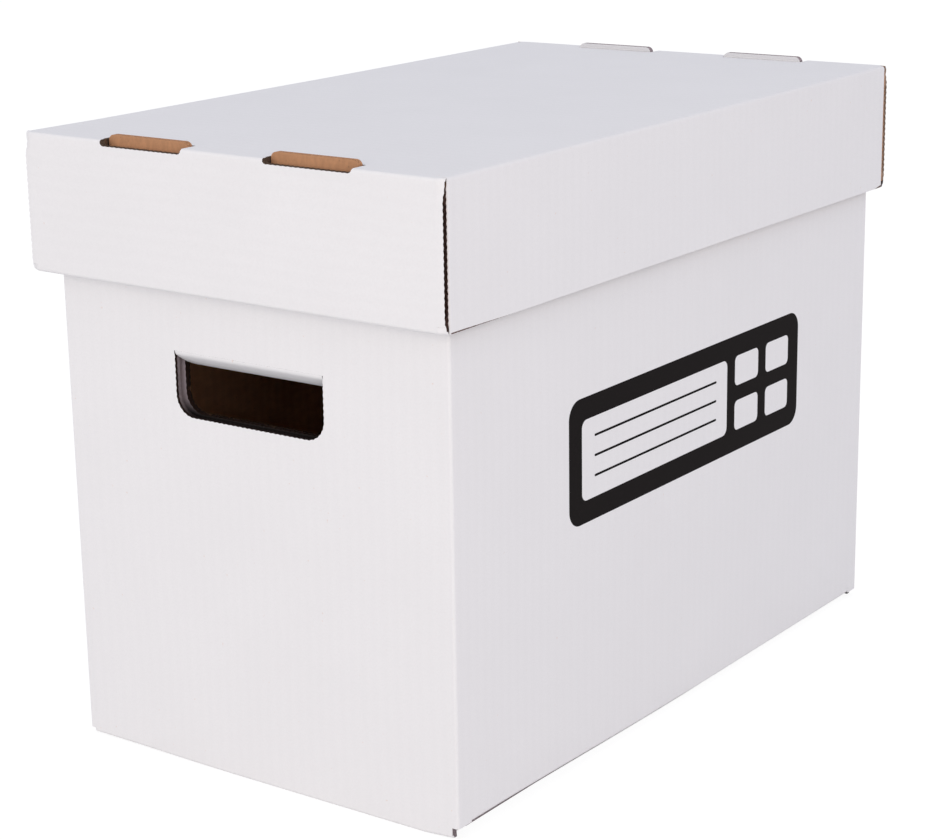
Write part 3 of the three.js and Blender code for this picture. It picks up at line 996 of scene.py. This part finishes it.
class BuildBottomFlaps(Operator):
    """Build the four bottom flaps of the body, the inner two lying on the outer two"""

    bl_idname = "storage_box.bottom_flaps"
    bl_label = "Bottom flaps"

    def execute(self, context):
        scene, sizes = context.scene, context.scene.box_sizes
        far = board + 3 * FOLD_SPARE
        lining_y = body_y - end_stack
        spans = list(slot_spans(sizes, sizes.body_tab_centre, sizes.body_tab_width))
        for place, way in ENDS:
            ys = (way * outer_flap_y, way * (body_y - far))
            face = bottom_flap_face(0, (-outer_flap_x, outer_flap_x), ys)
            slots = level_slots(sizes, [span for span in spans if span[0] == way],
                                lining_y - sizes.slot_slack, lining_y + board + sizes.slot_slack,
                                -board, 2 * board, (0, 1, 2, 3))
            board_piece(f"outer_flap_{place}", face, body_papers("outer_flap", scene), "box",
                        [f"bottom_flap_{place}"], sizes, [slots])
        for place, way in SIDES:
            xs = (way * inner_flap_x, way * (body_x - far))
            face = bottom_flap_face(lay_pitch, xs, (-inner_flap_y, inner_flap_y))
            board_piece(f"inner_flap_{place}", face, body_papers("inner_flap", scene), "box",
                        [f"bottom_flap_{place}"], sizes)
        return {"FINISHED"}


class BuildHandFlaps(Operator):
    """Build the pushed-in flaps of the hand holes"""

    bl_idname = "storage_box.hand_flaps"
    bl_label = "Hand flaps"

    def execute(self, context):
        sizes, curl = context.scene.box_sizes, context.scene.flap_sizes
        for place, way in ENDS:
            board_piece(f"curled_flap_{place}", hand_flap_face(curl, way),
                        body_papers("body", context.scene), f"flap_{place}",
                        [f"hand_flap_{place}"], sizes, [crease_crush(curl, way)])
        return {"FINISHED"}


# Lid. It is built round the middle of its own width, and then moved to where it sits.

# Where along the lid its left side begins to bend up, and the height over which the bend fades
LID_BEND_START = -110 * MM
LID_BEND_FADE = 20 * MM


def lid_face(sizes):
    """The white face of the lid: top, four folds, side walls with their curled ends, end walls."""
    reach = fold_reach(sizes)
    flat_x = lid_x - reach
    side_y = lid_y - lay_pitch
    ear_y = lid_y - board - FOLD_SPARE
    crush_x = lid_raw_x - sizes.crush_width
    shoulder, crease = lid_top - reach, lid_bottom + reach
    corner = [(lid_x, side_y), (flat_x, side_y), (flat_x, ear_y), (lid_raw_x, ear_y),
              (lid_raw_x, lid_y), (crush_x, lid_y)]
    rim = corner + [(-x, y) for x, y in reversed(corner)] + [(-lid_x, LID_BEND_START)]
    rim += [(-x, -y) for x, y in corner] + [(x, -y) for x, y in reversed(corner)]
    bm = bmesh.new()
    bm.faces.new([bm.verts.new((x, y, lid_top)) for x, y in rim])
    for _, way in SIDES:
        fold_line = open_edges(bm, lambda p: near(p.x, way * lid_x) and near(p.z, lid_top))
        pull(bm, fold_line, (0, 0, lid_bottom - lid_top))
        for _, far in ENDS:
            upright = open_edges(bm, lambda p: near(p.y, far * side_y) and near(p.x, way * lid_x))
            pull(bm, upright, (-way * reach, 0, 0))
    rows = 2 * round((shoulder - crease) / sizes.tooth)
    step = (shoulder - crease) / rows
    for _, way in ENDS:
        line = open_edges(bm, lambda p: near(p.y, way * lid_y) and near(p.z, lid_top))
        line = pull(bm, line, (0, 0, shoulder - lid_top))
        for _ in range(rows):
            line = pull(bm, line, (0, 0, -step))
    for vert in bm.verts:
        row = round((shoulder - vert.co.z) / step)
        if near(abs(vert.co.x), lid_raw_x) and 0 < row < rows and row % 2:
            vert.co.x -= math.copysign(sizes.tooth_depth, vert.co.x)
    face_white_side(bm, lambda p: near(p.z, lid_top), (0, 0, 1))
    lift_corner(bm, sizes, lid_top + LID_BEND_FADE)
    return bm


def crush_cut_edges(piece, sizes):
    """Thins the lid's ends from outside along their upright cut edges, most of all at the folds."""
    top_from, top_to = lid_top - 10 * MM, lid_top - 4 * MM
    foot_from, foot_to = lid_bottom + 6 * MM, lid_bottom + 1 * MM
    for vert in piece.data.vertices:
        x = abs(vert.co.x - lid_middle)
        if x > lid_raw_x - 2 * sizes.tooth_depth and near(abs(vert.co.y), lid_y):
            at_folds = max(smooth(top_from, top_to, vert.co.z),
                           smooth(foot_from, foot_to, vert.co.z))
            depth = sizes.edge_crush + sizes.corner_crush * at_folds
            vert.co.y -= math.copysign(depth, vert.co.y)


def lift_corner(bm, sizes, top):
    """Bends the lid's front left corner up, less and less up to a height."""
    for vert in bm.verts:
        x, y, z = vert.co
        share = (lid_x - x) / (2 * lid_x) * smooth(LID_BEND_START, -lid_y, y)
        vert.co.z += sizes.lid_lift * share * smooth(top, top - LID_BEND_FADE, z)


def lid_slots(sizes):
    """The slots that the locking tabs come up through, cut over the fold and a little way down."""
    inside = lid_y - end_stack - sizes.slot_slack
    outside = lid_y + board
    low, high = lid_top - sizes.slot_down, lid_top + board
    tooth_depth = sizes.tooth_depth * 0.6
    bm = bmesh.new()
    spans = slot_spans(sizes, sizes.lid_tab_centre, sizes.lid_tab_width, sizes.slot_shift)
    for way, xs in spans:
        corners = rectangle("y", way * outside, xs, (low, high))
        face = plate(bm, corners, (0, 1), sizes.slot_down, 6)
        toothed(bm, face, sizes.tooth, tooth_depth, lambda p: p.z > lid_top)
        thrust(bm, face, (0, -way * (outside - inside), 0))
    return bm


def lid_slot_floor(sizes):
    """The same slots through the rest of the top board, behind the end wall."""
    spans = slot_spans(sizes, sizes.lid_tab_centre, sizes.lid_tab_width)
    return level_slots(sizes, spans, lid_y - end_stack - sizes.slot_slack,
                       lid_y - fold_reach(sizes), lid_top - 2 * board, lid_top + board, (0, 1))


def lid_end_flutes(sizes):
    """The flutes that stand open at the lid's corners."""
    above_foot, below_top = 6 * MM, 9 * MM
    low, high = lid_bottom + above_foot, lid_top - below_top
    thinned = board - sizes.edge_crush
    bm = bmesh.new()
    for _, way in ENDS:
        for _, side in SIDES:
            flute_mouths(bm, sizes, (side * lid_raw_x, way * (lid_y - sizes.edge_crush), low),
                         (0, 0, 1), (0, -way, 0), (-side, 0, 0), high - low, thinned)
    return bm


def lid_piece(name, bm, materials, nodes, sizes, cutters=()):
    """A sheet of the lid, moved to where the lid sits, with its upright cut edges crushed."""
    for shape in (bm, *cutters):
        bmesh.ops.translate(shape, verts=shape.verts, vec=(lid_middle, 0, 0))
    board_piece(name, bm, materials, "lid", nodes, sizes, cutters, crush_cut_edges)


class BuildLidTray(Operator):
    """Build the lid's top with its side and end walls"""

    bl_idname = "storage_box.lid_tray"
    bl_label = "Lid tray"

    def execute(self, context):
        sizes = context.scene.box_sizes
        nodes = ["lid_top", "lid_side_left", "lid_side_right", "lid_end_front", "lid_end_rear"]
        flat_y = lid_y - 2 * fold_reach(sizes)
        cutters = [lid_slots(sizes), lid_slot_floor(sizes), lid_end_flutes(sizes),
                   side_flutes(sizes, lid_x, flat_y, lid_bottom, 1)]
        lid_piece("lid_tray", lid_face(sizes), tray_papers(context.scene), nodes, sizes, cutters)
        return {"FINISHED"}


class BuildLidLinings(Operator):
    """Build the roll-overs and inner boards of the lid's ends, with their locking tabs"""

    bl_idname = "storage_box.lid_linings"
    bl_label = "Lid linings"

    def execute(self, context):
        sizes = context.scene.box_sizes
        halves = (lid_raw_x, lid_lining_x)
        low = lid_bottom + fold_reach(sizes)
        high = lid_top - board - 2 * FOLD_SPARE
        tab = (sizes.lid_tab_centre, sizes.lid_tab_width, lid_tab_z - high, sizes.lid_tab_round, 5)
        for place, way in ENDS:
            face = lining_face(sizes, way, -1, lid_y, low, halves, high, tab)
            lift_corner(face, sizes, lid_top - LID_BEND_FADE)
            lid_piece(f"lid_lining_{place}", face, tab_papers(context.scene),
                      [f"lid_rim_{place}", f"lid_inner_end_{place}"], sizes)
        return {"FINISHED"}


class DressHiddenTabs(Operator):
    """Give the glued tab and the lid's corner tabs, which stay as packed, their kraft paper"""

    bl_idname = "storage_box.hidden_tabs"
    bl_label = "Hidden tabs"

    def execute(self, context):
        for name, node in frame["nodes"].items():
            if name == "body_glue_tab" or name.startswith("lid_corner_tab"):
                node.data.materials.clear()
                node.data.materials.append(liner("kraft", name.split("_")[0], context.scene))
        return {"FINISHED"}


# Print


def rounded_bar(bm, x, ys, zs, film, radius, segments=8):
    """A rounded rectangle of ink on the side wall."""
    face = plate(bm, rectangle("x", x, ys, zs), (0, 1, 2, 3), radius, segments)
    thrust(bm, face, (film, 0, 0))


class PrintIndexPanel(Operator):
    """Print a plain index panel to write on, on the right side wall"""

    bl_idname = "storage_box.index_panel"
    bl_label = "Index panel"

    def execute(self, context):
        sizes = context.scene.print_sizes
        margin, film = sizes.margin, sizes.film
        left, right = sizes.centre_y - sizes.width / 2, sizes.centre_y + sizes.width / 2
        low, high = sizes.centre_z - sizes.height / 2, sizes.centre_z + sizes.height / 2
        divide = left + sizes.divide * sizes.width
        panel = bmesh.new()
        rounded_bar(panel, body_x, (left, right), (low, high), film, sizes.corner, 12)
        bmesh.ops.recalc_face_normals(panel, faces=panel.faces)
        ink = black_ink("black_ink", context.scene.box_colours)
        piece = make_object("index_panel", panel, [ink, ink, ink])
        cut(piece, self.windows(sizes, left, divide, right, low, high))
        rule_corner = 0.5 * MM
        rules = bmesh.new()
        rules.from_mesh(piece.data)
        for index in range(3):
            z = low + margin + (index + 1) * (sizes.height - 2 * margin) / 4
            rounded_bar(rules, body_x, (left + 2 * margin, divide - margin), (z, z + sizes.rule),
                        film, rule_corner, 3)
        bmesh.ops.recalc_face_normals(rules, faces=rules.faces)
        rules.to_mesh(piece.data)
        rules.free()
        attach(piece, "box")
        return {"FINISHED"}

    def windows(self, sizes, left, divide, right, low, high):
        """One ruled window and four boxes, as shapes that cut through the ink."""
        margin, gap, film = sizes.margin, sizes.gap, sizes.film
        back, depth = body_x - film, 4 * film
        window_corner, box_corner = 4 * MM, 3 * MM
        bm = bmesh.new()
        rounded_bar(bm, back, (left + margin, divide), (low + margin, high - margin), depth,
                    window_corner)
        width = (right - margin - divide - 2 * gap) / 2
        height = (sizes.height - 2 * margin - gap) / 2
        for index in range(4):
            y = divide + gap + (index % 2) * (width + gap)
            z = low + margin + (index // 2) * (height + gap)
            rounded_bar(bm, back, (y, y + width), (z, z + height), depth, box_corner)
        return bm


# Stage


LAMP_TARGET = (0, 0, 0.15)

# The name, place, size and colour of each lamp, and the setting that holds its power
LAMPS = (
    ("front_lamp", (-0.9, -3.4, 1.1), 2.2, (1, 0.917, 0.773), "key"),
    ("right_lamp", (2.0, -1.15, 0.85), 1.5, (1, 0.881, 0.764), "side"),
)
ROOM_COLOUR = (0.898, 0.92, 1, 1)
WHITE_LIGHT = (1, 1, 1, 1)

# Where the camera stands, and its turn about the box, its rise and its roll in degrees
CAMERA_PLACE = (0.69244, -0.98661, 0.47332)
CAMERA_TURNS = (35.864, 15.705, -0.978)


def soft_lamp(name, place, size, colour, power):
    light = bpy.data.lights.new(name, "AREA")
    light.shape = "SQUARE"
    light.size = size
    light.energy = power
    light.color = colour
    lamp = bpy.data.objects.new(name, light)
    lamp.location = place
    lamp.rotation_mode = "QUATERNION"
    lamp.rotation_quaternion = (Vector(LAMP_TARGET) - lamp.location).to_track_quat("-Z", "Y")
    bpy.context.scene.collection.objects.link(lamp)


class BuildStage(Operator):
    """Set the pale floor, the soft light and the camera"""

    bl_idname = "storage_box.stage"
    bl_label = "Stage"

    def execute(self, context):
        settings = context.scene.stage_settings
        self.floor()
        self.room(context, settings)
        for name, place, size, colour, power in LAMPS:
            soft_lamp(name, place, size, colour, getattr(settings, power))
        self.camera(context, settings)
        return {"FINISHED"}

    def floor(self):
        """A floor that shines white, but for the shadow on it and the dark under the box."""
        bm = bmesh.new()
        bmesh.ops.create_grid(bm, x_segments=2, y_segments=2, size=12)
        finish = Finish("pale_floor")
        finish.feed(finish.shader, {"Base Color": (0.8, 0.8, 0.8, 1), "Roughness": 1,
                                    "Specular IOR Level": 0})
        side_inset, bent_inset, end_inset = 5.2 * MM, 3.2 * MM, 7 * MM
        bend_start = -20 * MM
        x, y, _ = finish.split(finish.place())
        bent = finish.ramp(y * -1, bend_start, inner_flap_y)
        under = ((x.size() < body_x - side_inset - bent * bent_inset)
                 * (y.size() < body_y - end_inset))
        glow = finish.node("ShaderNodeEmission", {}, {"Color": WHITE_LIGHT, "Strength": 1.12})
        shine_share = 0.82
        finish.surface("Material Output", finish.seen_directly() * shine_share * (1 - under),
                       finish.shader, glow)
        make_object("floor", bm, [finish.material])

    def room(self, context, settings):
        """Even light all round, before a white backdrop."""
        world = bpy.data.worlds.new("studio")
        world.use_nodes = True
        room = Nodes(world.node_tree)
        light = room.tree.nodes["Background"]
        room.feed(light, {"Color": ROOM_COLOUR, "Strength": settings.fill})
        backdrop = room.node("ShaderNodeBackground", {}, {"Color": WHITE_LIGHT})
        room.surface("World Output", room.seen_directly(), light, backdrop)
        context.scene.world = world
        context.scene.view_settings.view_transform = "Standard"

    def camera(self, context, settings):
        """The place, turn and lens that the photo was taken with."""
        yaw, rise, roll = (math.radians(angle) for angle in CAMERA_TURNS)
        turns = ((yaw, "Z"), (QUARTER - rise, "X"), (roll, "Z"))
        about, tilted, rolled = (Matrix.Rotation(angle, 3, axis) for angle, axis in turns)
        camera = bpy.data.objects.new("camera", bpy.data.cameras.new("camera"))
        camera.data.lens = settings.lens
        camera.data.sensor_width = 36
        camera.rotation_mode = "QUATERNION"
        camera.rotation_quaternion = (about @ tilted @ rolled).to_quaternion()
        camera.location = CAMERA_PLACE
        context.scene.collection.objects.link(camera)
        context.scene.camera = camera


class StorageBoxPanel(Panel):
    """Shows the box's settings and the buttons that build its pieces"""

    bl_idname = "VIEW3D_PT_storage_box"
    bl_label = "Magazine storage box"
    bl_space_type = "VIEW_3D"
    bl_region_type = "UI"
    bl_category = "Storage Box"

    def draw(self, context):
        for group in GROUPS:
            settings = getattr(context.scene, group)
            for key in settings.bl_rna.properties.keys():
                if key not in ("rna_type", "name"):
                    self.layout.prop(settings, key)
        for operator in OPERATORS:
            self.layout.operator(operator.bl_idname)


GROUPS = {
    "box_sizes": BoxSizes,
    "flap_sizes": FlapSizes,
    "print_sizes": PrintSizes,
    "box_colours": BoxColours,
    "stage_settings": StageSettings,
}
OPERATORS = (
    BuildBodyWalls,
    BuildBodyLinings,
    BuildBottomFlaps,
    BuildHandFlaps,
    BuildLidTray,
    BuildLidLinings,
    DressHiddenTabs,
    PrintIndexPanel,
    BuildStage,
)
CLASSES = (*GROUPS.values(), *OPERATORS, StorageBoxPanel)


def register():
    for made in CLASSES:
        bpy.utils.register_class(made)
    for name, group in GROUPS.items():
        setattr(bpy.types.Scene, name, PointerProperty(type=group))


def unregister():
    for name in GROUPS:
        delattr(bpy.types.Scene, name)
    for made in reversed(CLASSES):
        bpy.utils.unregister_class(made)


def main():
    for name in ("Cube", "Light", "Camera"):
        if name in bpy.data.objects:
            bpy.data.objects.remove(bpy.data.objects[name])
    register()
    for operator in OPERATORS:
        module, name = operator.bl_idname.split(".")
        getattr(getattr(bpy.ops, module), name)()
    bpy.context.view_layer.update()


if __name__ == "__main__":
    main()
